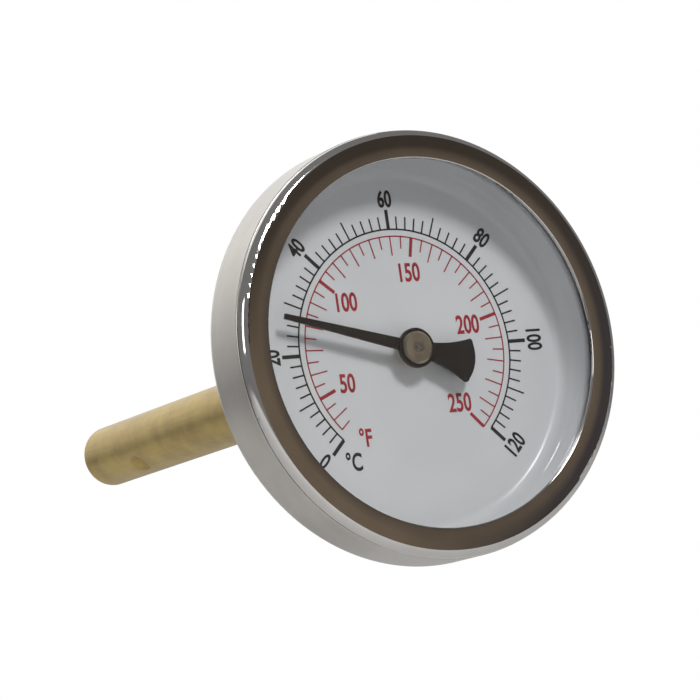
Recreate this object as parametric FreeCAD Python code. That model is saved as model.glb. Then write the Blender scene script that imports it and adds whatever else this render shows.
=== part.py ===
"""Bimetal dial thermometer, rear entry: a shallow round case with a window, a dial and a pointer,
and a plain round stem that leaves the middle of the case's back.

Frame, in millimetres: the stem's axis is Y and the stem points along +Y. The dial faces -Y and its
upright numbers read with +Z up. The origin is on the stem's axis, where the stem reaches its full
size, just clear of its socket. Every round piece is turned about Y, so a profile below is drawn as
(radius, y).
"""
import FreeCAD
import Part

import math
import os

Vector = FreeCAD.Vector

# Case
CASE_R = 31.65
CASE_WALL = 0.7
CASE_CORNER_R = 1.2
CASE_FLOOR_CORNER_R = 0.5
CASE_RIM_ROUND = 0.2

# Bezel
BEZEL_STEP = 0.1
BEZEL_FACE = 4.35
BEZEL_SHEET = 0.55
BEZEL_BEAD = 1.3
BEZEL_CORNER_R = 1.2
BEZEL_CROWN = 0.07
BEZEL_LIP_ROUND = 0.2
BEZEL_NECK = 5.1
SEAM = 0.25

# Window and its gasket
GASKET_T = 0.3
GASKET_SETBACK = 0.4
WINDOW_T = 2.0
WINDOW_CHAMFER = 0.15

# Dished dial and the ring under its flange
DIAL_T = 0.5
DIAL_SETBACK = 1.6
DIAL_DEPTH = 5.55
DIAL_FILLET_R = 1.7
DIAL_WALL_FLARE = 10.0
DIAL_BROW_R = 0.6
DIAL_HOLE_R = 1.3
SUPPORT_T = 1.5

# Socket through the case's back, with its seal, washer and nut
SOCKET_WALL = 1.95
SOCKET_FLANGE = 2.0
SOCKET_FLANGE_T = 0.8
SOCKET_STEP = 1.5
SOCKET_PROUD = 0.6
SOCKET_CHAMFER = 0.4
SOCKET_MOUTH = 0.35
SEAL_T = 0.8
SEAL_W = 2.6
WASHER_T = 0.8
WASHER_W = 2.3
WASHER_SLIT = 1.2
NUT_FLATS = 19.0
NUT_T = 5.2

# Stem
STEM_R = 5.05
STEM_WALL = 0.8
STEM_LENGTH = 91.3
STEM_END_T = 1.0
STEM_EDGE_R = 0.5
STEM_STEP = 0.2
STEM_NECK = 0.6
DIMPLE_FROM_END = 17.3
DIMPLE_ANGLE = -138.0
DIMPLE_TOOL_R = 3.2
DIMPLE_DEPTH = 0.85

# Spindle and the pieces fixed on it
SPINDLE_R = 0.75
SPINDLE_SUNK = 0.2
SPINDLE_TAIL = 0.5
BUSH_R = 1.9
BUSH_LENGTH = 1.6
CAP_R = 2.43
CAP_T = 0.6
CAP_BEVEL = 0.32
COLLAR_LENGTH = 4.0
THRUST_R = 1.6
THRUST_T = 1.0
THRUST_GAP = 0.1

# Pointer: needle, round boss and a tail that widens away from the hub
POINTER_GAP = 2.6
POINTER_T = 0.4
POINTER_SHORT = 3.7
POINTER_ROOT_W = 1.9
POINTER_TIP_W = 0.76
BOSS_R = 2.95
BOSS_T = 0.55
TAIL_LENGTH = 10.05
TAIL_ROOT_HALF = 1.2
TAIL_WAIST_HALF = 2.05
TAIL_WAIST_AT = 5.7
TAIL_END_HALF = 3.3
TAIL_SHOULDER_AT = 8.75
TAIL_CORNER_R = 0.6

# Bearing and guides
BEARING_R = 3.0
BEARING_FLANGE_T = 1.0
GUIDE_T = 3.0
GUIDE_CHAMFER = 0.3
GUIDE_GAP = 1.5

# Bimetal helix and the plug that holds its far end
HELIX_CLEARANCE = 1.2
HELIX_T = 0.3
HELIX_STRIP_W = 2.2
HELIX_LENGTH = 36.8
HELIX_TURNS = 12.5
HELIX_GAP = 1.5
PLUG_LENGTH = 10.0
PLUG_LAND = 2.0
PLUG_STUB = 5.2

# Fits, as a gap on the radius
RUNNING = 0.04
SEATED = 0.02
LOOSE = 0.1

# Scale: the reading at the top, the angle per degree and the reading at rest, in Celsius
TOP_C = 60.0
ANGLE_PER_C = 2.25
READING_C = 27.0

# Radii, from the outside in
BEZEL_R = CASE_R - BEZEL_STEP
BEZEL_OPENING_R = BEZEL_R - BEZEL_FACE
CASE_BORE_R = CASE_R - CASE_WALL
NECK_R = CASE_BORE_R - SEATED
NECK_BORE_R = NECK_R - BEZEL_SHEET
WINDOW_R = NECK_BORE_R - LOOSE
DIAL_FLAT_R = BEZEL_OPENING_R - DIAL_SETBACK
POINTER_TIP_R = DIAL_FLAT_R - POINTER_SHORT
SOCKET_R = STEM_R + SOCKET_WALL
SPIGOT_R = STEM_R - STEM_STEP
STEM_BORE_R = STEM_R - STEM_WALL
HELIX_R = STEM_BORE_R - HELIX_CLEARANCE
HELIX_BORE_R = HELIX_R - HELIX_T
HELIX_SEAT_R = HELIX_BORE_R - RUNNING
FIXED_BORE_R = SPINDLE_R + SEATED
RUNNING_BORE_R = SPINDLE_R + RUNNING

# Places along Y from the origin to the front
Y_SOCKET_END = -STEM_NECK
Y_BACK = Y_SOCKET_END - SOCKET_PROUD - NUT_T - WASHER_T - SEAL_T
Y_SEAT = Y_BACK + SOCKET_STEP
Y_FLOOR = Y_BACK - CASE_WALL
Y_DIAL_REAR = Y_FLOOR - SOCKET_FLANGE_T
Y_DIAL = Y_DIAL_REAR - DIAL_T
Y_WINDOW_REAR = Y_DIAL - DIAL_DEPTH
Y_WINDOW_FRONT = Y_WINDOW_REAR - WINDOW_T
Y_LIP_REAR = Y_WINDOW_FRONT - GASKET_T
Y_FRONT = Y_LIP_REAR - BEZEL_SHEET
Y_BEAD_REAR = Y_FRONT + BEZEL_BEAD
Y_RIM = Y_BEAD_REAR + SEAM
Y_POINTER = Y_DIAL - POINTER_GAP
Y_CAP = Y_POINTER - BOSS_T
Y_SPINDLE_TOP = Y_CAP - CAP_T + SPINDLE_SUNK

# Places along Y inside the stem
Y_BEARING_END = Y_SEAT + BEARING_FLANGE_T
Y_DIMPLE = STEM_LENGTH - DIMPLE_FROM_END
Y_PLUG = Y_DIMPLE - PLUG_LENGTH / 2
Y_HELIX_END = Y_PLUG - HELIX_GAP - HELIX_STRIP_W / 2
Y_HELIX_START = Y_HELIX_END - HELIX_LENGTH
Y_COLLAR = Y_HELIX_START - HELIX_STRIP_W / 2
Y_SPINDLE_END = Y_COLLAR + COLLAR_LENGTH + SPINDLE_TAIL
Y_LOWER_GUIDE = Y_COLLAR - GUIDE_GAP - GUIDE_T
Y_MIDDLE_GUIDE = (Y_BEARING_END + Y_LOWER_GUIDE) / 2


def outline(start, *steps):
    """Return a flat face: a step is an end point, or a pair (point on the arc, end point)."""
    edges = []
    here = start
    for step in steps + (start,):
        if isinstance(step, tuple):
            through, end = step
            edges.append(Part.Arc(here, through, end).toShape())
        else:
            end = step
            edges.append(Part.makeLine(here, end))
        here = end
    return Part.Face(Part.Wire(edges))


def lathe(*steps):
    """Return the solid of a (radius, y) profile turned once about the Y axis."""
    def lift(step):
        if isinstance(step[0], tuple):
            return lift(step[0]), lift(step[1])
        return Vector(*step, 0)

    face = outline(*[lift(step) for step in steps])
    return face.revolve(Vector(0, 0, 0), Vector(0, 1, 0), 360)


def ring(inner, outer, low, high, chamfer=0.0):
    """Return a ring, with its outer edges chamfered where chamfer isn't 0."""
    if not chamfer:
        return lathe((inner, low), (outer, low), (outer, high), (inner, high))
    return lathe(
        (inner, low),
        (outer - chamfer, low),
        (outer, low + chamfer),
        (outer, high - chamfer),
        (outer - chamfer, high),
        (inner, high),
    )


def cylinder(radius, low, length):
    """Return a round bar about the Y axis."""
    return Part.makeCylinder(radius, length, Vector(0, low, 0), Vector(0, 1, 0))


def on_arc(centre, radius, degrees):
    """Return the (radius, y) point of a circle at an angle from the radial direction."""
    turn = math.radians(degrees)
    return centre[0] + radius * math.cos(turn), centre[1] + radius * math.sin(turn)


def arc_step(centre, radius, first, last):
    """Return a profile step along a circle, from the angle first to the angle last."""
    return on_arc(centre, radius, (first + last) / 2), on_arc(centre, radius, last)


def case_cup():
    """Thin round cup, open to the front, with a hole for the socket in its back."""
    hole = SOCKET_R + LOOSE
    rear = (CASE_R - CASE_CORNER_R, Y_BACK - CASE_CORNER_R)
    inner = (CASE_BORE_R - CASE_FLOOR_CORNER_R, Y_FLOOR - CASE_FLOOR_CORNER_R)
    rim = (CASE_R - CASE_RIM_ROUND, Y_RIM + CASE_RIM_ROUND)
    return lathe(
        (hole, Y_BACK),
        (rear[0], Y_BACK),
        arc_step(rear, CASE_CORNER_R, 90, 0),
        (CASE_R, rim[1]),
        arc_step(rim, CASE_RIM_ROUND, 0, -90),
        (CASE_BORE_R, Y_RIM),
        (CASE_BORE_R, inner[1]),
        arc_step(inner, CASE_FLOOR_CORNER_R, 0, 90),
        (hole, Y_FLOOR),
    )


def bezel_ring():
    """Polished ring: a crowned front, a rounded bead and a neck that presses into the case."""
    face_out = BEZEL_R - BEZEL_CORNER_R
    lip = (BEZEL_OPENING_R + BEZEL_LIP_ROUND, Y_FRONT + BEZEL_CROWN + BEZEL_LIP_ROUND)
    corner = (face_out, Y_FRONT + BEZEL_CROWN + BEZEL_CORNER_R)
    crown = ((lip[0] + face_out) / 2, Y_FRONT)
    return lathe(
        (BEZEL_OPENING_R, Y_LIP_REAR),
        (BEZEL_OPENING_R, lip[1]),
        arc_step(lip, BEZEL_LIP_ROUND, 180, 270),
        (crown, (face_out, corner[1] - BEZEL_CORNER_R)),
        arc_step(corner, BEZEL_CORNER_R, 270, 360),
        (BEZEL_R, Y_BEAD_REAR),
        (NECK_R, Y_BEAD_REAR),
        (NECK_R, Y_BEAD_REAR + BEZEL_NECK),
        (NECK_BORE_R, Y_BEAD_REAR + BEZEL_NECK),
        (NECK_BORE_R, Y_LIP_REAR),
    )


def dial_centres():
    """Return the centres of the dish's fillet and of its brow, as (radius, y)."""
    fillet = (DIAL_FLAT_R, Y_DIAL - DIAL_FILLET_R)
    flare = math.radians(DIAL_WALL_FLARE)
    wall_start = on_arc(fillet, DIAL_FILLET_R, DIAL_WALL_FLARE)
    brow_y = Y_WINDOW_REAR + DIAL_BROW_R
    wall_rise = wall_start[1] - brow_y + DIAL_BROW_R * math.sin(flare)
    wall_end_r = wall_start[0] + wall_rise * math.tan(flare)
    return fillet, (wall_end_r + DIAL_BROW_R * math.cos(flare), brow_y)


def dial_pan():
    """One-piece dished dial: a flat disc, a flaring wall and a flange behind the window."""
    fillet, brow = dial_centres()
    low, high = DIAL_WALL_FLARE, 180 + DIAL_WALL_FLARE
    return lathe(
        (DIAL_HOLE_R, Y_DIAL),
        (DIAL_FLAT_R, Y_DIAL),
        arc_step(fillet, DIAL_FILLET_R, 90, low),
        on_arc(brow, DIAL_BROW_R, high),
        arc_step(brow, DIAL_BROW_R, high, 270),
        (WINDOW_R, Y_WINDOW_REAR),
        (WINDOW_R, Y_WINDOW_REAR + DIAL_T),
        (brow[0], Y_WINDOW_REAR + DIAL_T),
        arc_step(brow, DIAL_BROW_R - DIAL_T, 270, high),
        on_arc(fillet, DIAL_FILLET_R + DIAL_T, low),
        arc_step(fillet, DIAL_FILLET_R + DIAL_T, low, 90),
        (DIAL_HOLE_R, Y_DIAL_REAR),
    )


def window_glass():
    """Flat round window."""
    return ring(0, WINDOW_R, Y_WINDOW_FRONT, Y_WINDOW_REAR, WINDOW_CHAMFER)


def window_gasket():
    """Flat seal between the window and the bezel's lip."""
    return ring(BEZEL_OPENING_R + GASKET_SETBACK, WINDOW_R, Y_LIP_REAR, Y_WINDOW_FRONT)


def dial_support():
    """Ring that stands on the case's floor and carries the dial's flange."""
    return ring(WINDOW_R - SUPPORT_T, WINDOW_R, Y_WINDOW_REAR + DIAL_T, Y_FLOOR)


def stem_socket():
    """Flanged, threaded bush: the stem seats in its bore, and its mouth is countersunk for solder."""
    bearing_hole = BEARING_R + SEATED
    stem_hole = SPIGOT_R + SEATED
    return lathe(
        (bearing_hole, Y_DIAL_REAR),
        (SOCKET_R + SOCKET_FLANGE, Y_DIAL_REAR),
        (SOCKET_R + SOCKET_FLANGE, Y_FLOOR),
        (SOCKET_R, Y_FLOOR),
        (SOCKET_R, Y_SOCKET_END - SOCKET_CHAMFER),
        (SOCKET_R - SOCKET_CHAMFER, Y_SOCKET_END),
        (stem_hole + SOCKET_MOUTH, Y_SOCKET_END),
        (stem_hole, Y_SOCKET_END - SOCKET_MOUTH),
        (stem_hole, Y_SEAT),
        (bearing_hole, Y_SEAT),
    )


def socket_seal():
    """Fibre washer between the case's back and the spring washer."""
    return ring(SOCKET_R + LOOSE, SOCKET_R + SEAL_W, Y_BACK, Y_BACK + SEAL_T)


def lock_washer():
    """Spring washer, slit on one side."""
    low = Y_BACK + SEAL_T
    outer = SOCKET_R + WASHER_W
    washer = ring(SOCKET_R + LOOSE, outer, low, low + WASHER_T)
    slit = Part.makeBox(WASHER_SLIT, WASHER_T, outer, Vector(-WASHER_SLIT / 2, low, 0))
    return washer.cut(slit)


def lock_nut():
    """Thin hexagon nut with chamfered corners that clamps the case's back."""
    low = Y_BACK + SEAL_T + WASHER_T
    high = low + NUT_T
    corner = NUT_FLATS / math.sqrt(3)
    corners = [
        Vector(corner * math.cos(math.radians(60 * n)), low, corner * math.sin(math.radians(60 * n)))
        for n in range(6)
    ]
    hexagon = Part.Face(Part.makePolygon(corners + corners[:1])).extrude(Vector(0, NUT_T, 0))
    shaper = ring(0, corner, low, high, corner - NUT_FLATS / 2)
    bore = cylinder(SOCKET_R + LOOSE, low, NUT_T)
    return hexagon.common(shaper).cut(bore)


def clockwise(y, radius, degrees):
    """Return the point at an angle clockwise from the top, as the dial's reader sees it."""
    turn = math.radians(degrees)
    return Vector(radius * math.sin(turn), y, radius * math.cos(turn))


def stem_tube():
    """Closed tube, turned down where the socket holds it, with a dimple that locks the plug."""
    edge = (STEM_R - STEM_EDGE_R, STEM_LENGTH - STEM_EDGE_R)
    tube = lathe(
        (STEM_BORE_R, Y_SEAT),
        (SPIGOT_R, Y_SEAT),
        (SPIGOT_R, 0),
        (STEM_R, 0),
        (STEM_R, edge[1]),
        arc_step(edge, STEM_EDGE_R, 0, 90),
        (0, STEM_LENGTH),
        (0, STEM_LENGTH - STEM_END_T),
        (STEM_BORE_R, STEM_LENGTH - STEM_END_T),
    )
    centre = clockwise(Y_DIMPLE, STEM_R - DIMPLE_DEPTH + DIMPLE_TOOL_R, DIMPLE_ANGLE)
    core = cylinder(STEM_R - STEM_WALL / 2, Y_DIMPLE - DIMPLE_FROM_END / 2, DIMPLE_FROM_END)
    bulge = Part.makeSphere(DIMPLE_TOOL_R + STEM_WALL, centre).common(core)
    return tube.fuse(bulge).cut(Part.makeSphere(DIMPLE_TOOL_R, centre)).removeSplitter()


def anchor_plug():
    """Plug that the dimple holds: a groove for the dimple's bulge and a stub inside the helix."""
    outer = STEM_BORE_R - SEATED
    groove = STEM_BORE_R - DIMPLE_DEPTH - LOOSE
    end = Y_PLUG + PLUG_LENGTH
    return lathe(
        (0, Y_PLUG - PLUG_STUB),
        (HELIX_SEAT_R, Y_PLUG - PLUG_STUB),
        (HELIX_SEAT_R, Y_PLUG),
        (outer, Y_PLUG),
        (outer, Y_PLUG + PLUG_LAND),
        (groove, Y_PLUG + PLUG_LAND),
        (groove, end - PLUG_LAND),
        (outer, end - PLUG_LAND),
        (outer, end),
        (0, end),
    )


def bimetal_helix():
    """Flat strip wound into a helix about the stem's axis."""
    middle = (HELIX_BORE_R + HELIX_R) / 2
    path = Part.makeHelix(HELIX_LENGTH / HELIX_TURNS, HELIX_LENGTH, middle)
    half = HELIX_STRIP_W / 2
    corners = [(HELIX_BORE_R, -half), (HELIX_R, -half), (HELIX_R, half), (HELIX_BORE_R, half)]
    section = Part.makePolygon([Vector(x, 0, z) for x, z in corners + corners[:1]])
    strip = Part.Wire(path).makePipeShell([section], True, True)
    strip.rotate(Vector(0, 0, 0), Vector(1, 0, 0), -90)
    strip.translate(Vector(0, Y_HELIX_START, 0))
    return strip


def upper_bearing():
    """Bush in the socket that the spindle runs in, with a flange on the socket's seat."""
    flange_r = STEM_BORE_R - LOOSE
    return lathe(
        (RUNNING_BORE_R, Y_DIAL_REAR),
        (BEARING_R, Y_DIAL_REAR),
        (BEARING_R, Y_SEAT),
        (flange_r, Y_SEAT),
        (flange_r, Y_BEARING_END),
        (RUNNING_BORE_R, Y_BEARING_END),
    )


def guide(low):
    """Disc in the stem that keeps the spindle central."""
    return ring(RUNNING_BORE_R, STEM_BORE_R - SEATED, low, low + GUIDE_T, GUIDE_CHAMFER)


def spindle():
    """Thin rod from the pointer's hub down to the helix."""
    return cylinder(SPINDLE_R, Y_SPINDLE_TOP, Y_SPINDLE_END - Y_SPINDLE_TOP)


def thrust_collar():
    """Ring on the spindle under the upper bearing."""
    low = Y_BEARING_END + THRUST_GAP
    return ring(FIXED_BORE_R, THRUST_R, low, low + THRUST_T)


def helix_collar():
    """Drum on the spindle that carries the moving end of the helix."""
    return ring(FIXED_BORE_R, HELIX_SEAT_R, Y_COLLAR, Y_COLLAR + COLLAR_LENGTH)


def pointer_bush():
    """Sleeve on the spindle behind the pointer."""
    return ring(FIXED_BORE_R, BUSH_R, Y_POINTER, Y_POINTER + BUSH_LENGTH)


def hub_cap():
    """Bright bevelled cap with the spindle's end sunk in its middle."""
    front = Y_CAP - CAP_T
    mouth = SPINDLE_R + SPINDLE_SUNK
    return lathe(
        (FIXED_BORE_R, Y_CAP),
        (CAP_R, Y_CAP),
        (CAP_R, front + CAP_BEVEL),
        (CAP_R - CAP_BEVEL, front),
        (mouth, front),
        (FIXED_BORE_R, front + SPINDLE_SUNK),
    )


def pointer_needle():
    """Return the needle's face, pointing up, with its base at the spindle."""
    root, tip = POINTER_ROOT_W / 2, POINTER_TIP_W / 2
    top = POINTER_TIP_R
    return outline(Vector(-root, 0, 0), Vector(-tip, 0, top), Vector(tip, 0, top), Vector(root, 0, 0))


def pointer_tail():
    """Return the tail's face, pointing down: concave sides, round corners and a bowed end."""
    corner_x = TAIL_END_HALF - TAIL_CORNER_R
    slant = TAIL_CORNER_R * math.sqrt(0.5)
    side = [
        (TAIL_ROOT_HALF, 0),
        (TAIL_WAIST_HALF, TAIL_WAIST_AT),
        (TAIL_END_HALF, TAIL_SHOULDER_AT),
        (corner_x + slant, TAIL_SHOULDER_AT + slant),
        (corner_x, TAIL_SHOULDER_AT + TAIL_CORNER_R),
    ]
    root, waist, shoulder, bend, end = [Vector(-x, 0, -z) for x, z in side]
    far_root, far_waist, far_shoulder, far_bend, far_end = [Vector(x, 0, -z) for x, z in side]
    return outline(
        root,
        (waist, shoulder),
        (bend, end),
        (Vector(0, 0, -TAIL_LENGTH), far_end),
        (far_bend, far_shoulder),
        (far_waist, far_root),
    )


def pointer():
    """Needle, boss and tail in one flat piece, turned to the reading."""
    sheet = Vector(0, -POINTER_T, 0)
    blade = pointer_needle().extrude(sheet).fuse(pointer_tail().extrude(sheet))
    blade.translate(Vector(0, Y_POINTER, 0))
    blade = blade.fuse(cylinder(BOSS_R, Y_CAP, BOSS_T))
    blade = blade.cut(cylinder(FIXED_BORE_R, Y_CAP, BOSS_T)).removeSplitter()
    blade.rotate(Vector(0, 0, 0), Vector(0, 1, 0), (READING_C - TOP_C) * ANGLE_PER_C)
    return blade


def nodes():
    """Return every piece by its node name."""
    return {
        "case_cup": case_cup(),
        "bezel_ring": bezel_ring(),
        "window_gasket": window_gasket(),
        "window_glass": window_glass(),
        "dial_pan": dial_pan(),
        "dial_support": dial_support(),
        "stem_socket": stem_socket(),
        "socket_seal": socket_seal(),
        "lock_washer": lock_washer(),
        "lock_nut": lock_nut(),
        "stem_tube": stem_tube(),
        "upper_bearing": upper_bearing(),
        "middle_guide": guide(Y_MIDDLE_GUIDE),
        "lower_guide": guide(Y_LOWER_GUIDE),
        "bimetal_helix": bimetal_helix(),
        "anchor_plug": anchor_plug(),
        "spindle": spindle(),
        "thrust_collar": thrust_collar(),
        "helix_collar": helix_collar(),
        "pointer_bush": pointer_bush(),
        "pointer": pointer(),
        "hub_cap": hub_cap(),
    }


def main():
    """Write one STEP file per node."""
    os.makedirs("parts", exist_ok=True)
    for name, shape in nodes().items():
        solid = shape.Solids[0]
        solid.exportStep(f"parts/{name}.step")
        print(f"{name:16s} {solid.Volume:10.2f} mm3, valid {solid.isValid()}, of {len(shape.Solids)}")


main()
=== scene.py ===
"""Looks of the bimetal dial thermometer: printed scales, finishes, studio and camera.

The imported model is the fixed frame. Every length is in metres, in that frame: the stem's axis is Y,
the dial faces -Y and its upright numbers read with +Z up.
"""
import logging
import math
from dataclasses import dataclass, field
from enum import Enum
from typing import Any, Iterable

import bpy
from mathutils import Matrix, Quaternion, Vector


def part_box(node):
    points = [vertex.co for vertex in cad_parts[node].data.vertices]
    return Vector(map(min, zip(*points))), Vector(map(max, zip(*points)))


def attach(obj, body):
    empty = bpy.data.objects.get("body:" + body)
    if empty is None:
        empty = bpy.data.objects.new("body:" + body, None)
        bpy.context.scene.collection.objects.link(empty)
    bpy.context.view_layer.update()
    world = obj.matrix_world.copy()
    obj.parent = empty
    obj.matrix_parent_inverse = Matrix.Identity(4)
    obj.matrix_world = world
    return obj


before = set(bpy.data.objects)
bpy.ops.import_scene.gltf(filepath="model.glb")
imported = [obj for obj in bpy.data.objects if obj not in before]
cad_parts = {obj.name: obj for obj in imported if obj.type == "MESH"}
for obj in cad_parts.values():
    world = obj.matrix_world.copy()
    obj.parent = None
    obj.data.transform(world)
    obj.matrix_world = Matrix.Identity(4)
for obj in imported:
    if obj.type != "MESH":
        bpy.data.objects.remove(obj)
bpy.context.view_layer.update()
LOG = logging.getLogger("thermometer")
MM = 0.001
HOUSING = "housing"
# Thickness of the dial's sheet, which lies on the socket's flange.
DIAL_SHEET_MM = 0.5
# Height of the font's capitals against its size.
CAPITALS_SHARE = 0.72
# Steps round the whole of a printed arc.
ARC_STEPS = 180
# The value at the top of the dial, and how far the pointer turns for each degree Celsius.
TOP_CELSIUS = 60
DEGREES_PER_CELSIUS = 2.25
# Numbers further than this from the top are turned over, and sit slightly nearer the top.
UPSIDE_DOWN_FROM = 120
FLIPPED_PULL = 0.99
SENSOR_MM = 36
FLOOR_SIDE = 8


# ---------------------------------------------------------------- helpers


def rgb(hex_colour: str) -> tuple[float, float, float, float]:
    """Turn an sRGB hex colour into linear RGBA.

    Args:
        hex_colour: six hex digits, such as "a1b2c3".

    Returns:
        Linear red, green and blue with an alpha of 1.
    """
    channels = [int(hex_colour[i:i + 2], 16) / 255 for i in (0, 2, 4)]
    linear = [c / 12.92 if c <= 0.04045 else ((c + 0.055) / 1.055) ** 2.4 for c in channels]
    return (linear[0], linear[1], linear[2], 1.0)


def add_node(
    tree: bpy.types.NodeTree,
    kind: str,
    settings: dict[str, Any] | None = None,
    values: dict[str | int, Any] | None = None,
    links: dict[str | int, bpy.types.NodeSocket] | None = None,
) -> bpy.types.Node:
    """Add one node to a tree.

    Args:
        tree: the node tree.
        kind: the node's type name, such as "ShaderNodeTexNoise".
        settings: the node's own properties.
        values: constants for its input sockets.
        links: output sockets that feed its input sockets.

    Returns:
        The new node.
    """
    node = tree.nodes.new(kind)
    for name, value in (settings or {}).items():
        setattr(node, name, value)
    for name, value in (values or {}).items():
        node.inputs[name].default_value = value
    for name, socket in (links or {}).items():
        tree.links.new(socket, node.inputs[name])
    return node


def deselect_all() -> None:
    """Leave object mode with nothing selected."""
    if bpy.context.object and bpy.context.object.mode != "OBJECT":
        bpy.ops.object.mode_set(mode="OBJECT")
    bpy.ops.object.select_all(action="DESELECT")


def settle(piece: bpy.types.Object) -> None:
    """Put a piece's place into its mesh, so that its object sits at the origin."""
    bpy.context.view_layer.update()
    piece.data.transform(piece.matrix_world)
    piece.matrix_world = Matrix.Identity(4)


def join(pieces: list[bpy.types.Object], name: str) -> bpy.types.Object:
    """Join settled pieces into one.

    Args:
        pieces: mesh objects that sit at the origin.
        name: the joined piece's name.

    Returns:
        The joined piece.
    """
    deselect_all()
    for piece in pieces:
        piece.select_set(True)
    bpy.context.view_layer.objects.active = pieces[0]
    if len(pieces) > 1:
        bpy.ops.object.join()
    joined = bpy.context.view_layer.objects.active
    joined.name = name
    joined.data.name = name
    return joined


def copy_turned(piece: bpy.types.Object, turn: Matrix) -> bpy.types.Object:
    """Copy a settled piece with its own mesh, turned by a matrix."""
    twin = bpy.data.objects.new(piece.name, piece.data.copy())
    twin.data.transform(turn)
    bpy.context.scene.collection.objects.link(twin)
    return twin


def about_stem(degrees: float) -> Matrix:
    """Return a turn about the stem's axis, clockwise for the dial's reader."""
    return Matrix.Rotation(math.radians(degrees), 4, "Y")


# ---------------------------------------------------------------- finishes


class Grain(Enum):
    """Which way the fine marks of a metal run."""

    AROUND = "around the stem's axis"
    ALONG = "along the stem's axis"
    NONE = "no direction"


@dataclass(frozen=True)
class MetalFinish:
    """A metal with cloudy colour, fine directed marks and faint handling marks.

    Attributes:
        name: the material's name.
        light: sRGB hex of the cleaner patches.
        dark: sRGB hex of the duller patches.
        roughness: middle roughness.
        spread: how far the roughness varies either way.
        cloud_mm: size of the colour patches.
        mark_mm: spacing of the fine marks.
        mark_depth_mm: height of the fine marks.
        grain: which way the marks run.
    """

    name: str
    light: str
    dark: str
    roughness: float
    spread: float = 0.05
    cloud_mm: float = 9.0
    mark_mm: float = 0.35
    mark_depth_mm: float = 0.004
    grain: Grain = Grain.NONE

    def material(self) -> bpy.types.Material:
        """Build the material."""
        made = bpy.data.materials.new(self.name)
        made.use_nodes = True
        tree = made.node_tree
        tree.nodes.clear()
        place = add_node(tree, "ShaderNodeTexCoord").outputs["Object"]
        cloud = add_node(
            tree, "ShaderNodeTexNoise",
            values={"Scale": 1 / (self.cloud_mm * MM), "Detail": 4.0, "Roughness": 0.6},
            links={"Vector": place},
        )
        marks = self.marks(tree, place)
        colour = add_node(
            tree, "ShaderNodeMix", {"data_type": "RGBA"},
            {6: rgb(self.dark), 7: rgb(self.light)},
            {0: contrast(tree, cloud.outputs["Fac"], 0.35, 0.65)},
        )
        wear = add_node(
            tree, "ShaderNodeMath", {"operation": "MULTIPLY"},
            links={0: cloud.outputs["Fac"], 1: marks},
        )
        rough = add_node(
            tree, "ShaderNodeMapRange",
            values={
                "From Min": 0.1, "From Max": 0.45,
                "To Min": max(self.roughness - self.spread, 0.0), "To Max": self.roughness + self.spread,
            },
            links={"Value": wear.outputs[0]},
        )
        bump = add_node(
            tree, "ShaderNodeBump", values={"Strength": 1.0, "Distance": self.mark_depth_mm * MM},
            links={"Height": marks},
        )
        shader = add_node(
            tree, "ShaderNodeBsdfPrincipled", values={"Metallic": 1.0},
            links={
                "Base Color": colour.outputs[2], "Roughness": rough.outputs[0], "Normal": bump.outputs[0],
            },
        )
        add_node(tree, "ShaderNodeOutputMaterial", links={"Surface": shader.outputs[0]})
        return made

    def marks(self, tree: bpy.types.NodeTree, place: bpy.types.NodeSocket) -> bpy.types.NodeSocket:
        """Add the fine marks.

        Args:
            tree: the material's node tree.
            place: object coordinates.

        Returns:
            The height of the marks, from 0 to 1.
        """
        fine = 1 / (self.mark_mm * MM)
        if self.grain is Grain.AROUND:
            split = add_node(tree, "ShaderNodeSeparateXYZ", links={0: place})
            squares = [
                add_node(tree, "ShaderNodeMath", {"operation": "POWER"}, {1: 2.0}, {0: split.outputs[axis]})
                for axis in ("X", "Z")
            ]
            total = add_node(
                tree, "ShaderNodeMath", links={0: squares[0].outputs[0], 1: squares[1].outputs[0]},
            )
            radius = add_node(tree, "ShaderNodeMath", {"operation": "SQRT"}, links={0: total.outputs[0]})
            turn = add_node(
                tree, "ShaderNodeMath", {"operation": "ARCTAN2"},
                links={0: split.outputs["X"], 1: split.outputs["Z"]},
            )
            short = add_node(
                tree, "ShaderNodeMath", {"operation": "MULTIPLY"}, {1: 0.4 * MM}, {0: turn.outputs[0]},
            )
            place = add_node(
                tree, "ShaderNodeCombineXYZ",
                links={0: radius.outputs[0], 1: split.outputs["Y"], 2: short.outputs[0]},
            ).outputs[0]
        scale = (fine, fine, fine)
        if self.grain is Grain.ALONG:
            scale = (fine, fine * 0.03, fine)
        stretched = add_node(
            tree, "ShaderNodeVectorMath", {"operation": "MULTIPLY"}, {1: scale}, {0: place},
        )
        noise = add_node(
            tree, "ShaderNodeTexNoise", values={"Scale": 1.0, "Detail": 3.0, "Roughness": 0.55},
            links={"Vector": stretched.outputs[0]},
        )
        return noise.outputs["Fac"]


def contrast(
    tree: bpy.types.NodeTree, value: bpy.types.NodeSocket, low: float, high: float
) -> bpy.types.NodeSocket:
    """Stretch a value so that low becomes 0 and high becomes 1.

    Args:
        tree: the node tree.
        value: the socket to stretch.
        low: the value that becomes 0.
        high: the value that becomes 1.

    Returns:
        The stretched socket.
    """
    ranged = add_node(
        tree, "ShaderNodeMapRange", values={"From Min": low, "From Max": high}, links={"Value": value},
    )
    return ranged.outputs[0]


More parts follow.
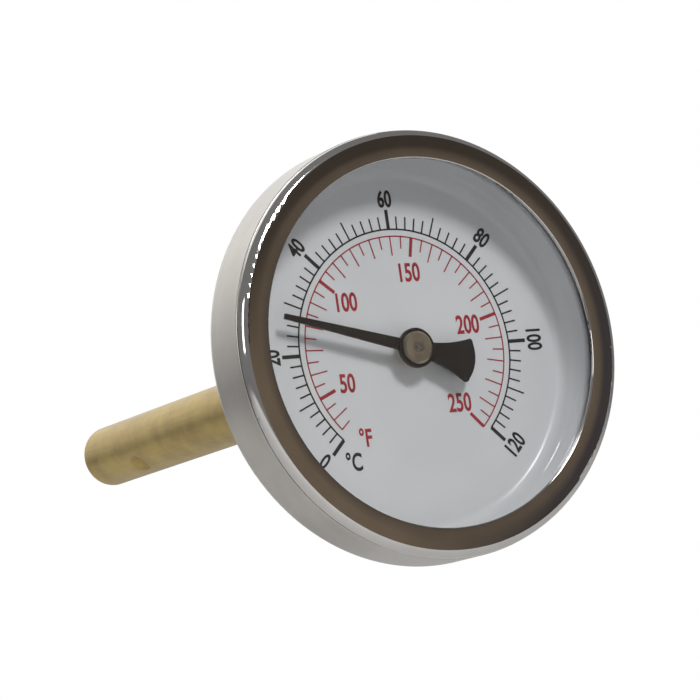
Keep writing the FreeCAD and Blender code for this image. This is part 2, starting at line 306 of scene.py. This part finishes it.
@dataclass(frozen=True)
class CoatFinish:
    """A paint, enamel, ink, plastic, rubber or fibre: two close colours and a fine surface.

    Attributes:
        name: the material's name.
        light: sRGB hex of the lighter patches.
        dark: sRGB hex of the darker patches.
        roughness: middle roughness.
        grain_mm: size of the surface's texture.
        depth_mm: height of the surface's texture.
        cloud_mm: size of the colour patches.
        coat: weight of a clear coat.
        coat_roughness: roughness of the clear coat.
    """

    name: str
    light: str
    dark: str
    roughness: float
    grain_mm: float = 0.5
    depth_mm: float = 0.003
    cloud_mm: float = 7.0
    coat: float = 0.0
    coat_roughness: float = 0.1

    def material(self) -> bpy.types.Material:
        """Build the material."""
        made = bpy.data.materials.new(self.name)
        made.use_nodes = True
        tree = made.node_tree
        tree.nodes.clear()
        place = add_node(tree, "ShaderNodeTexCoord").outputs["Object"]
        cloud = add_node(
            tree, "ShaderNodeTexNoise", values={"Scale": 1 / (self.cloud_mm * MM), "Detail": 3.0},
            links={"Vector": place},
        )
        grain = add_node(
            tree, "ShaderNodeTexNoise", values={"Scale": 1 / (self.grain_mm * MM), "Detail": 2.0},
            links={"Vector": place},
        )
        colour = add_node(
            tree, "ShaderNodeMix", {"data_type": "RGBA"}, {6: rgb(self.dark), 7: rgb(self.light)},
            {0: contrast(tree, cloud.outputs["Fac"], 0.35, 0.65)},
        )
        rough = add_node(
            tree, "ShaderNodeMapRange",
            values={"To Min": max(self.roughness - 0.06, 0.02), "To Max": self.roughness + 0.06},
            links={"Value": grain.outputs["Fac"]},
        )
        bump = add_node(
            tree, "ShaderNodeBump", values={"Strength": 1.0, "Distance": self.depth_mm * MM},
            links={"Height": grain.outputs["Fac"]},
        )
        shader = add_node(
            tree, "ShaderNodeBsdfPrincipled",
            values={"Coat Weight": self.coat, "Coat Roughness": self.coat_roughness},
            links={
                "Base Color": colour.outputs[2], "Roughness": rough.outputs[0], "Normal": bump.outputs[0],
            },
        )
        add_node(tree, "ShaderNodeOutputMaterial", links={"Surface": shader.outputs[0]})
        return made


@dataclass(frozen=True)
class WindowFinish:
    """Clear flat glass: what is behind shows straight through, with a faint reflection on top.

    Attributes:
        name: the material's name.
        tint: sRGB hex of the light that gets through.
        roughness: roughness of the reflection.
        ior: index of refraction, which sets the reflection's strength.
        smear_mm: size of the patches where the reflection is softer.
    """

    name: str = "clear_float_glass"
    tint: str = "fefefe"
    roughness: float = 0.02
    ior: float = 1.45
    smear_mm: float = 14.0

    def material(self) -> bpy.types.Material:
        """Build the material."""
        made = bpy.data.materials.new(self.name)
        made.use_nodes = True
        tree = made.node_tree
        tree.nodes.clear()
        # Clear glass: the dial shows through, and only the faint sheen on top varies.
        place = add_node(tree, "ShaderNodeTexCoord").outputs["Object"]
        smear = add_node(
            tree, "ShaderNodeTexNoise", values={"Scale": 1 / (self.smear_mm * MM), "Detail": 3.0},
            links={"Vector": place},
        )
        rough = add_node(
            tree, "ShaderNodeMapRange",
            values={"To Min": self.roughness * 0.5, "To Max": self.roughness * 2},
            links={"Value": smear.outputs["Fac"]},
        )
        clear = add_node(tree, "ShaderNodeBsdfTransparent", values={"Color": rgb(self.tint)})
        shine = add_node(
            tree, "ShaderNodeBsdfGlossy", values={"Color": rgb("ffffff")},
            links={"Roughness": rough.outputs[0]},
        )
        edge = add_node(tree, "ShaderNodeFresnel", values={"IOR": self.ior})
        mixed = add_node(
            tree, "ShaderNodeMixShader",
            links={0: edge.outputs[0], 1: clear.outputs[0], 2: shine.outputs[0]},
        )
        add_node(tree, "ShaderNodeOutputMaterial", links={"Surface": mixed.outputs[0]})
        return made


# Linished stainless sheet. Soft streaks round the wall break up a warm, satin grey.
CASE_STEEL = MetalFinish(
    "linished_stainless_case", "c4c0b9", "b2aea7", roughness=0.36, spread=0.06, cloud_mm=16,
    mark_mm=0.25, mark_depth_mm=0.004, grain=Grain.AROUND,
)
# Buffed stainless. Close to a mirror, with the faint turning lines that buffing leaves.
BEZEL_STEEL = MetalFinish(
    "buffed_stainless_bezel", "c9c6c2", "bdbab6", roughness=0.07, spread=0.03, cloud_mm=12,
    mark_mm=0.3, mark_depth_mm=0.0006, grain=Grain.AROUND,
)
# Drawn brass tube that has dulled. Satin, with olive and brown clouds and long draw lines.
STEM_BRASS = MetalFinish(
    "drawn_brass_stem", "bca568", "a48d58", roughness=0.42, spread=0.07, cloud_mm=5, mark_mm=0.3,
    mark_depth_mm=0.005, grain=Grain.ALONG,
)
# Bar brass off the lathe. Brighter than the stem, with turning lines.
TURNED_BRASS = MetalFinish(
    "turned_brass", "cdb06a", "b99b58", roughness=0.28, spread=0.06, cloud_mm=6, mark_mm=0.25,
    mark_depth_mm=0.005, grain=Grain.AROUND,
)
# Nickel plate over turned brass. A warm silver whose fine rings soften its shine.
CAP_NICKEL = MetalFinish(
    "nickel_plated_cap", "d3c9b6", "bdb29f", roughness=0.32, spread=0.05, cloud_mm=1.6,
    mark_mm=0.08, mark_depth_mm=0.002, grain=Grain.AROUND,
)
# Zinc plate on steel. Cool grey and slightly cloudy.
PLATED_STEEL = MetalFinish(
    "zinc_plated_steel", "b8bab8", "9fa2a2", roughness=0.34, spread=0.06, cloud_mm=4, mark_mm=0.4,
    mark_depth_mm=0.003,
)
# Rolled bimetal strip. Dull grey with fine rolling lines.
BIMETAL = MetalFinish(
    "rolled_bimetal_strip", "9a948a", "837d74", roughness=0.38, spread=0.06, cloud_mm=3,
    mark_mm=0.2, mark_depth_mm=0.003, grain=Grain.AROUND,
)
# Drawn steel rod. Clean grey with long, fine lines.
SPINDLE_STEEL = MetalFinish(
    "drawn_steel_spindle", "b4b3b0", "9c9a97", roughness=0.26, spread=0.05, cloud_mm=2, mark_mm=0.1,
    mark_depth_mm=0.002, grain=Grain.ALONG,
)
# Stoved white enamel. Cool white and satin, with a soft gloss on the curved wall.
DIAL_ENAMEL = CoatFinish(
    "stoved_white_enamel", "e6e8ea", "dfe2e4", roughness=0.34, grain_mm=0.9, depth_mm=0.0015,
    cloud_mm=14, coat=0.35, coat_roughness=0.16,
)
# Stoved black paint on thin sheet. Near black, with a low sheen.
POINTER_PAINT = CoatFinish(
    "black_stoved_paint", "151312", "0f0e0e", roughness=0.4, grain_mm=0.35, depth_mm=0.002,
    cloud_mm=3,
)
# Black pad-printed ink. Dull, with slightly uneven cover.
BLACK_INK = CoatFinish(
    "black_pad_printed_ink", "1f2226", "15171a", roughness=0.42, grain_mm=0.25, depth_mm=0.001,
    cloud_mm=1.5,
)
# Red pad-printed ink. A deep red, dull, with slightly uneven cover.
RED_INK = CoatFinish(
    "red_pad_printed_ink", "b02a38", "9c2230", roughness=0.42, grain_mm=0.25, depth_mm=0.001,
    cloud_mm=1.5,
)
# Moulded black plastic. Dark grey with a fine moulded texture.
SUPPORT_PLASTIC = CoatFinish(
    "moulded_black_plastic", "2a2a2b", "202021", roughness=0.5, grain_mm=0.4, depth_mm=0.01,
    cloud_mm=5,
)
# Sheet rubber. Black and matt.
SEAL_RUBBER = CoatFinish(
    "black_sheet_rubber", "1c1c1c", "141414", roughness=0.7, grain_mm=0.3, depth_mm=0.01,
    cloud_mm=4,
)
# Vulcanised fibre. Brick red, matt and slightly speckled.
SEAL_FIBRE = CoatFinish(
    "red_vulcanised_fibre", "7e3426", "64281d", roughness=0.6, grain_mm=0.3, depth_mm=0.01,
    cloud_mm=1.2,
)

NODE_FINISHES: dict[str, MetalFinish | CoatFinish | WindowFinish] = {
    "case_cup": CASE_STEEL,
    "bezel_ring": BEZEL_STEEL,
    "window_gasket": SEAL_RUBBER,
    "window_glass": WindowFinish(),
    "dial_pan": DIAL_ENAMEL,
    "dial_support": SUPPORT_PLASTIC,
    "stem_socket": TURNED_BRASS,
    "socket_seal": SEAL_FIBRE,
    "lock_washer": PLATED_STEEL,
    "lock_nut": PLATED_STEEL,
    "stem_tube": STEM_BRASS,
    "upper_bearing": TURNED_BRASS,
    "middle_guide": TURNED_BRASS,
    "lower_guide": TURNED_BRASS,
    "bimetal_helix": BIMETAL,
    "anchor_plug": TURNED_BRASS,
    "spindle": SPINDLE_STEEL,
    "thrust_collar": TURNED_BRASS,
    "helix_collar": TURNED_BRASS,
    "pointer_bush": TURNED_BRASS,
    "pointer": POINTER_PAINT,
    "hub_cap": CAP_NICKEL,
}


@dataclass
class Wardrobe:
    """Makes each finish's material once and puts it on pieces."""

    made: dict[str, bpy.types.Material] = field(default_factory=dict)

    def dress(
        self, piece: bpy.types.Object, finish: MetalFinish | CoatFinish | WindowFinish
    ) -> None:
        """Replace a piece's materials with one finish.

        Args:
            piece: a mesh object.
            finish: what it is made of.
        """
        if finish.name not in self.made:
            self.made[finish.name] = finish.material()
        for slot in piece.material_slots:
            slot.material = self.made[finish.name]
        if not piece.material_slots:
            piece.data.materials.append(self.made[finish.name])


# ---------------------------------------------------------------- printed dial


@dataclass(frozen=True)
class TickStyle:
    """Sizes of one kind of tick, in millimetres."""

    length: float
    width: float


@dataclass
class PrintedScale:
    """One scale: an arc, its ticks and its numbers.

    Attributes:
        name: the pieces' name.
        finish: the ink.
        arc_mm: radius of the arc's middle line.
        arc_width_mm: width of the arc's line.
        outward: True if the ticks stand outside the arc.
        low: first value.
        high: last value.
        small: step between ticks.
        middle: step between long ticks.
        large: step between thick ticks.
        styles: sizes of the small, long and thick ticks.
    """

    name: str
    finish: CoatFinish
    arc_mm: float
    arc_width_mm: float
    outward: bool
    low: int
    high: int
    small: int
    middle: int
    large: int
    styles: tuple[TickStyle, TickStyle, TickStyle]

    def angle(self, value: float) -> float:
        """Return a value's angle, clockwise from the top, in degrees."""
        raise NotImplementedError

    def style(self, value: int) -> TickStyle:
        """Return the size of the tick at a value."""
        if value % self.large == 0:
            return self.styles[2]
        if value % self.middle == 0:
            return self.styles[1]
        return self.styles[0]


class CelsiusScale(PrintedScale):
    """The outer scale."""

    def angle(self, value: float) -> float:
        """Return a value's angle, clockwise from the top, in degrees."""
        return (value - TOP_CELSIUS) * DEGREES_PER_CELSIUS


class FahrenheitScale(PrintedScale):
    """The inner scale, which shares the outer one's angle per degree Celsius."""

    def angle(self, value: float) -> float:
        """Return a value's angle, clockwise from the top, in degrees."""
        return ((value - 32) / 1.8 - TOP_CELSIUS) * DEGREES_PER_CELSIUS


@dataclass(frozen=True)
class Lettering:
    """One number or unit on the dial.

    Attributes:
        text: what it says.
        angle: where its middle is, in degrees clockwise from the top.
        radius_mm: where its middle is.
        height_mm: height of its capitals.
        lean: how far it is turned, in degrees clockwise.
        finish: the ink.
        narrow: width of a character against the font's own.
        bold_mm: how far each stroke's edge is pushed out.
    """

    text: str
    angle: float
    radius_mm: float
    height_mm: float
    lean: float
    finish: CoatFinish
    narrow: float = 0.7
    bold_mm: float = 0.09


@dataclass
class DialPrint:
    """Everything printed on the dial: thin ink that lies on the enamel.

    Attributes:
        ink_mm: thickness of the ink.
        rise_mm: how far the print sits above the stem's axis.
    """

    ink_mm: float = 0.03
    rise_mm: float = 0.4
    wardrobe: Wardrobe = field(default_factory=Wardrobe)

    def __post_init__(self) -> None:
        """Find the dial's flat face, in front of the socket's flange by the sheet's thickness."""
        self.face_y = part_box("stem_socket")[0].y - DIAL_SHEET_MM * MM

    def build(self, scales: Iterable[PrintedScale], letters: Iterable[Lettering]) -> list[bpy.types.Object]:
        """Build the scales and the letters.

        Args:
            scales: the scales.
            letters: the numbers and units.

        Returns:
            The finished pieces.
        """
        pieces = []
        for scale in scales:
            parts = [self.arc(scale), *self.ticks(scale)]
            pieces.append(self.lay(join(parts, f"{scale.name}_ticks"), scale.finish))
        for letter in letters:
            pieces.append(self.lay(self.letter(letter), letter.finish))
        return pieces

    def lay(self, piece: bpy.types.Object, finish: CoatFinish) -> bpy.types.Object:
        """Move a piece of print to its height, dress it and let it ride on the housing."""
        piece.data.transform(Matrix.Translation((0, 0, self.rise_mm * MM)))
        self.wardrobe.dress(piece, finish)
        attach(piece, HOUSING)
        return piece

    def bar(self, low_r: float, high_r: float, width: float) -> bpy.types.Object:
        """Model one upright bar of ink.

        Args:
            low_r: inner end, in millimetres from the axis.
            high_r: outer end, in millimetres.
            width: width, in millimetres.

        Returns:
            The settled bar.
        """
        deselect_all()
        bpy.ops.mesh.primitive_plane_add(size=1, rotation=(math.radians(90), 0, 0))
        bar = bpy.context.object
        bar.scale = (width * MM, (high_r - low_r) * MM, 1)
        bar.location = (0, self.face_y, (high_r + low_r) / 2 * MM)
        settle(bar)
        bpy.ops.object.mode_set(mode="EDIT")
        bpy.ops.mesh.select_all(action="SELECT")
        bpy.ops.mesh.extrude_region_move(TRANSFORM_OT_translate={"value": (0, -self.ink_mm * MM, 0)})
        bpy.ops.mesh.select_all(action="SELECT")
        bpy.ops.mesh.normals_make_consistent(inside=False)
        bpy.ops.object.mode_set(mode="OBJECT")
        return bar

    def ticks(self, scale: PrintedScale) -> list[bpy.types.Object]:
        """Model one tick of each size and copy it round the scale."""
        side = 1 if scale.outward else -1
        patterns: dict[TickStyle, bpy.types.Object] = {}
        made = []
        for value in range(scale.low, scale.high + 1, scale.small):
            style = scale.style(value)
            if style not in patterns:
                ends = sorted((scale.arc_mm, scale.arc_mm + side * style.length))
                patterns[style] = self.bar(ends[0], ends[1], style.width)
            made.append(copy_turned(patterns[style], about_stem(scale.angle(value))))
        for pattern in patterns.values():
            bpy.data.objects.remove(pattern)
        return made

    def arc(self, scale: PrintedScale) -> bpy.types.Object:
        """Spin a narrow section of ink round the scale."""
        half = scale.arc_width_mm / 2
        piece = self.bar(scale.arc_mm - half, scale.arc_mm + half, 0.01)
        piece.data.transform(about_stem(scale.angle(scale.low)))
        sweep = scale.angle(scale.high) - scale.angle(scale.low)
        deselect_all()
        piece.select_set(True)
        bpy.context.view_layer.objects.active = piece
        bpy.ops.object.mode_set(mode="EDIT")
        bpy.ops.mesh.select_all(action="DESELECT")
        bpy.ops.object.mode_set(mode="OBJECT")
        start = about_stem(scale.angle(scale.low)).to_3x3() @ Vector((1, 0, 0))
        for face in piece.data.polygons:
            face.select = face.normal.dot(start) > 0.9
        bpy.ops.object.mode_set(mode="EDIT")
        bpy.ops.mesh.select_mode(type="FACE")
        bpy.ops.mesh.spin(
            steps=ARC_STEPS, angle=math.radians(-sweep), center=(0, 0, 0), axis=(0, 1, 0), dupli=False,
        )
        bpy.ops.mesh.select_all(action="SELECT")
        bpy.ops.mesh.remove_doubles(threshold=1e-7)
        bpy.ops.mesh.normals_make_consistent(inside=False)
        bpy.ops.object.mode_set(mode="OBJECT")
        return piece

    def letter(self, letter: Lettering) -> bpy.types.Object:
        """Model one number or unit as raised type, then turn and place it."""
        deselect_all()
        bpy.ops.object.text_add()
        text = bpy.context.object
        text.data.body = letter.text
        text.data.align_x = "CENTER"
        text.data.align_y = "CENTER"
        text.data.size = letter.height_mm * MM / CAPITALS_SHARE
        text.data.extrude = self.ink_mm * MM / 2
        text.data.offset = letter.bold_mm * MM
        text.data.resolution_u = 6
        text.scale = (letter.narrow, 1, 1)
        bpy.ops.object.convert(target="MESH")
        text = bpy.context.object
        turn = math.radians(letter.angle)
        place = Vector((math.sin(turn), 0, math.cos(turn))) * letter.radius_mm * MM
        place.y = self.face_y - self.ink_mm * MM / 2
        lean = about_stem(letter.lean)
        text.matrix_world = (
            Matrix.Translation(place) @ lean @ Matrix.Rotation(math.radians(90), 4, "X") @ text.matrix_world
        )
        settle(text)
        spread = [[vertex.co[axis] for vertex in text.data.vertices] for axis in (0, 2)]
        middle = [(min(side) + max(side)) / 2 for side in spread]
        text.data.transform(Matrix.Translation((place.x - middle[0], 0, place.z - middle[1])))
        plain = letter.text.replace("°", "degree_")
        text.name = f"print_{plain}_{round(letter.angle) % 360}"
        return text


def dial_scales() -> list[PrintedScale]:
    """Return the two scales."""
    celsius = CelsiusScale(
        "celsius", BLACK_INK, arc_mm=17.9, arc_width_mm=0.24, outward=True,
        low=0, high=120, small=2, middle=10, large=20,
        styles=(TickStyle(1.95, 0.24), TickStyle(2.95, 0.24), TickStyle(2.95, 0.55)),
    )
    fahrenheit = FahrenheitScale(
        "fahrenheit", RED_INK, arc_mm=16.85, arc_width_mm=0.2, outward=False,
        low=35, high=250, small=5, middle=10, large=50,
        styles=(TickStyle(1.85, 0.2), TickStyle(2.9, 0.2), TickStyle(2.9, 0.5)),
    )
    return [celsius, fahrenheit]


def dial_letters(scales: list[PrintedScale]) -> list[Lettering]:
    """Place the numbers and units of both scales.

    Args:
        scales: the Celsius scale and the Fahrenheit scale.

    Returns:
        The Celsius numbers, which turn with the scale, the upright Fahrenheit numbers, and the units.
    """
    celsius, fahrenheit = scales
    letters = []
    for value in range(celsius.low, celsius.high + 1, celsius.large):
        angle = celsius.angle(value)
        flipped = abs(angle) > UPSIDE_DOWN_FROM
        letters.append(Lettering(
            str(value),
            angle=angle * (FLIPPED_PULL if flipped else 1.0),
            radius_mm=22.5,
            height_mm=2.5,
            lean=angle + (180 if flipped else 0),
            finish=BLACK_INK,
        ))
    for value in range(fahrenheit.large, fahrenheit.high + 1, fahrenheit.large):
        letters.append(Lettering(
            str(value),
            angle=fahrenheit.angle(value),
            radius_mm=11.6,
            height_mm=2.75,
            lean=0,
            finish=RED_INK,
        ))
    letters.append(Lettering("°F", angle=-144.5, radius_mm=15.4, height_mm=2.6, lean=0, finish=RED_INK))
    letters.append(Lettering("°C", angle=-144.3, radius_mm=19.6, height_mm=2.6, lean=0, finish=BLACK_INK))
    return letters


# ---------------------------------------------------------------- studio


@dataclass
class Studio:
    """Floor, lamps, world and camera.

    Attributes:
        azimuth: where the camera stands, in degrees from straight in front, to the reader's right.
        elevation: how far the camera stands above the dial's middle, in degrees.
        roll: how far the camera is turned clockwise, in degrees.
        distance: from the camera to what it looks at.
        aim: what it looks at.
        lens_mm: focal length on a 36 mm wide sensor.
        floor_z: height of the floor.
    """

    azimuth: float = -30.58
    elevation: float = -7.10
    roll: float = 8.27
    distance: float = 0.5029
    aim: tuple[float, float, float] = (-0.00947, -0.0100, 0.0008)
    lens_mm: float = 177.97
    floor_z: float = -0.125

    def build(self) -> None:
        """Build the studio."""
        self.camera()
        self.floor()
        self.world()
        self.lamps()
        bpy.context.scene.view_settings.view_transform = "Standard"

    def camera(self) -> None:
        """Add the camera."""
        turn, rise = math.radians(self.azimuth), math.radians(self.elevation)
        away = Vector((math.sin(turn) * math.cos(rise), -math.cos(turn) * math.cos(rise), math.sin(rise)))
        data = bpy.data.cameras.new("camera")
        data.lens = self.lens_mm
        data.sensor_width = SENSOR_MM
        data.clip_start = 0.01
        camera = bpy.data.objects.new("camera", data)
        camera.location = Vector(self.aim) + away * self.distance
        camera.rotation_mode = "QUATERNION"
        rolled = Quaternion((0, 0, 1), math.radians(-self.roll))
        camera.rotation_quaternion = away.to_track_quat("Z", "Y") @ rolled
        bpy.context.scene.collection.objects.link(camera)
        bpy.context.scene.camera = camera

    def floor(self) -> None:
        """Add a wide pale floor that shows white and keeps the shadow."""
        deselect_all()
        bpy.ops.mesh.primitive_plane_add(size=FLOOR_SIDE, location=(0, 0, self.floor_z))
        floor = bpy.context.object
        floor.name = "studio_floor"
        settle(floor)
        # Matt white paper: it shows white and takes the soft shadow.
        made = bpy.data.materials.new("studio_paper")
        made.use_nodes = True
        shader = made.node_tree.nodes["Principled BSDF"]
        shader.inputs["Base Color"].default_value = rgb("f4f4f4")
        shader.inputs["Roughness"].default_value = 0.9
        floor.data.materials.append(made)

    def world(self) -> None:
        """Light the scene evenly, and show white to the camera."""
        world = bpy.data.worlds.new("studio_world")
        bpy.context.scene.world = world
        world.use_nodes = True
        tree = world.node_tree
        tree.nodes.clear()
        path = add_node(tree, "ShaderNodeLightPath")
        soft = add_node(tree, "ShaderNodeBackground", values={"Color": rgb("f4f5f8"), "Strength": 0.3})
        white = add_node(tree, "ShaderNodeBackground", values={"Color": rgb("ffffff"), "Strength": 1.0})
        mixed = add_node(
            tree, "ShaderNodeMixShader",
            links={0: path.outputs["Is Camera Ray"], 1: soft.outputs[0], 2: white.outputs[0]},
        )
        add_node(tree, "ShaderNodeOutputWorld", links={"Surface": mixed.outputs[0]})

    def lamp(self, name: str, place: tuple[float, float, float], size: float, watts: float) -> None:
        """Add a square soft lamp that points at the dial.

        Args:
            name: the lamp's name.
            place: where it hangs.
            size: length of its sides.
            watts: its power.
        """
        data = bpy.data.lights.new(name, "AREA")
        data.size = size
        data.energy = watts
        lamp = bpy.data.objects.new(name, data)
        lamp.location = place
        lamp.rotation_euler = Vector(place).to_track_quat("Z", "Y").to_euler()
        bpy.context.scene.collection.objects.link(lamp)

    def card(
        self, name: str, place: tuple[float, float, float], size: tuple[float, float],
        colours: tuple[str, str, str],
    ) -> None:
        """Add a glowing flat card, unseen by the camera, whose colours make a painted reflection in the
        polished bezel.

        Args:
            name: the card's name.
            place: its middle; it faces the dial.
            size: its width and height.
            colours: sRGB hex of its left side, its right side and its top.
        """
        deselect_all()
        bpy.ops.mesh.primitive_plane_add(size=1)
        card = bpy.context.object
        card.name = name
        card.scale = (size[0], size[1], 1)
        card.location = place
        card.rotation_euler = Vector(place).to_track_quat("Z", "Y").to_euler()
        settle(card)
        card.data.materials.append(self.card_material(name, colours))
        card.visible_camera = False
        card.visible_diffuse = False
        card.visible_shadow = False

    def card_material(self, name: str, colours: tuple[str, str, str]) -> bpy.types.Material:
        """Build a glowing card that changes colour to its right and towards its top.

        Its colours are a painted reflection: they give the bezel its brown mirror image, which darkens
        towards the right and the top.
        """
        made = bpy.data.materials.new(name)
        made.use_nodes = True
        tree = made.node_tree
        tree.nodes.clear()
        place = add_node(tree, "ShaderNodeTexCoord").outputs["Object"]
        split = add_node(tree, "ShaderNodeSeparateXYZ", links={0: place})
        aside = add_node(
            tree, "ShaderNodeMix", {"data_type": "RGBA"}, {6: rgb(colours[0]), 7: rgb(colours[1])},
            {0: contrast(tree, split.outputs["X"], 0.36, 0.46)},
        )
        upward = add_node(
            tree, "ShaderNodeMix", {"data_type": "RGBA"}, {7: rgb(colours[2])},
            {0: contrast(tree, split.outputs["Z"], 0.08, 0.17), 6: aside.outputs[2]},
        )
        glow = add_node(tree, "ShaderNodeEmission", links={0: upward.outputs[2]})
        add_node(tree, "ShaderNodeOutputMaterial", links={"Surface": glow.outputs[0]})
        return made

    def lamps(self) -> None:
        """Hang the lamps and stand the cards."""
        self.lamp("key_above", (0.02, -0.72, 0.53), 0.2, 4.0)
        self.lamp("fill_left", (-0.75, -0.42, 0.27), 0.3, 1.5)
        self.lamp("fill_behind", (0.0, 0.75, 0.42), 0.9, 2.7)
        # Painted reflection: this glowing card paints the bezel's mirror image, light brown on the left,
        # charcoal on the right and darker brown at the top.
        self.card("painted_reflection_card", (0.42, -0.62, 0.09), (0.75, 0.62), ("7f7161", "4c484a", "4c443d"))


# ---------------------------------------------------------------- making


def dress_frame(wardrobe: Wardrobe) -> None:
    """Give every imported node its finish."""
    for name, finish in NODE_FINISHES.items():
        wardrobe.dress(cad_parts[name], finish)
        LOG.info("dressed %s in %s", name, finish.name)


def main() -> None:
    """Build the thermometer's looks and its studio."""
    logging.basicConfig(level=logging.INFO)
    wardrobe = Wardrobe()
    dress_frame(wardrobe)
    scales = dial_scales()
    for piece in DialPrint(wardrobe=wardrobe).build(scales, dial_letters(scales)):
        LOG.info("printed %s", piece.name)
    Studio().build()


if __name__ == "__main__":
    main()
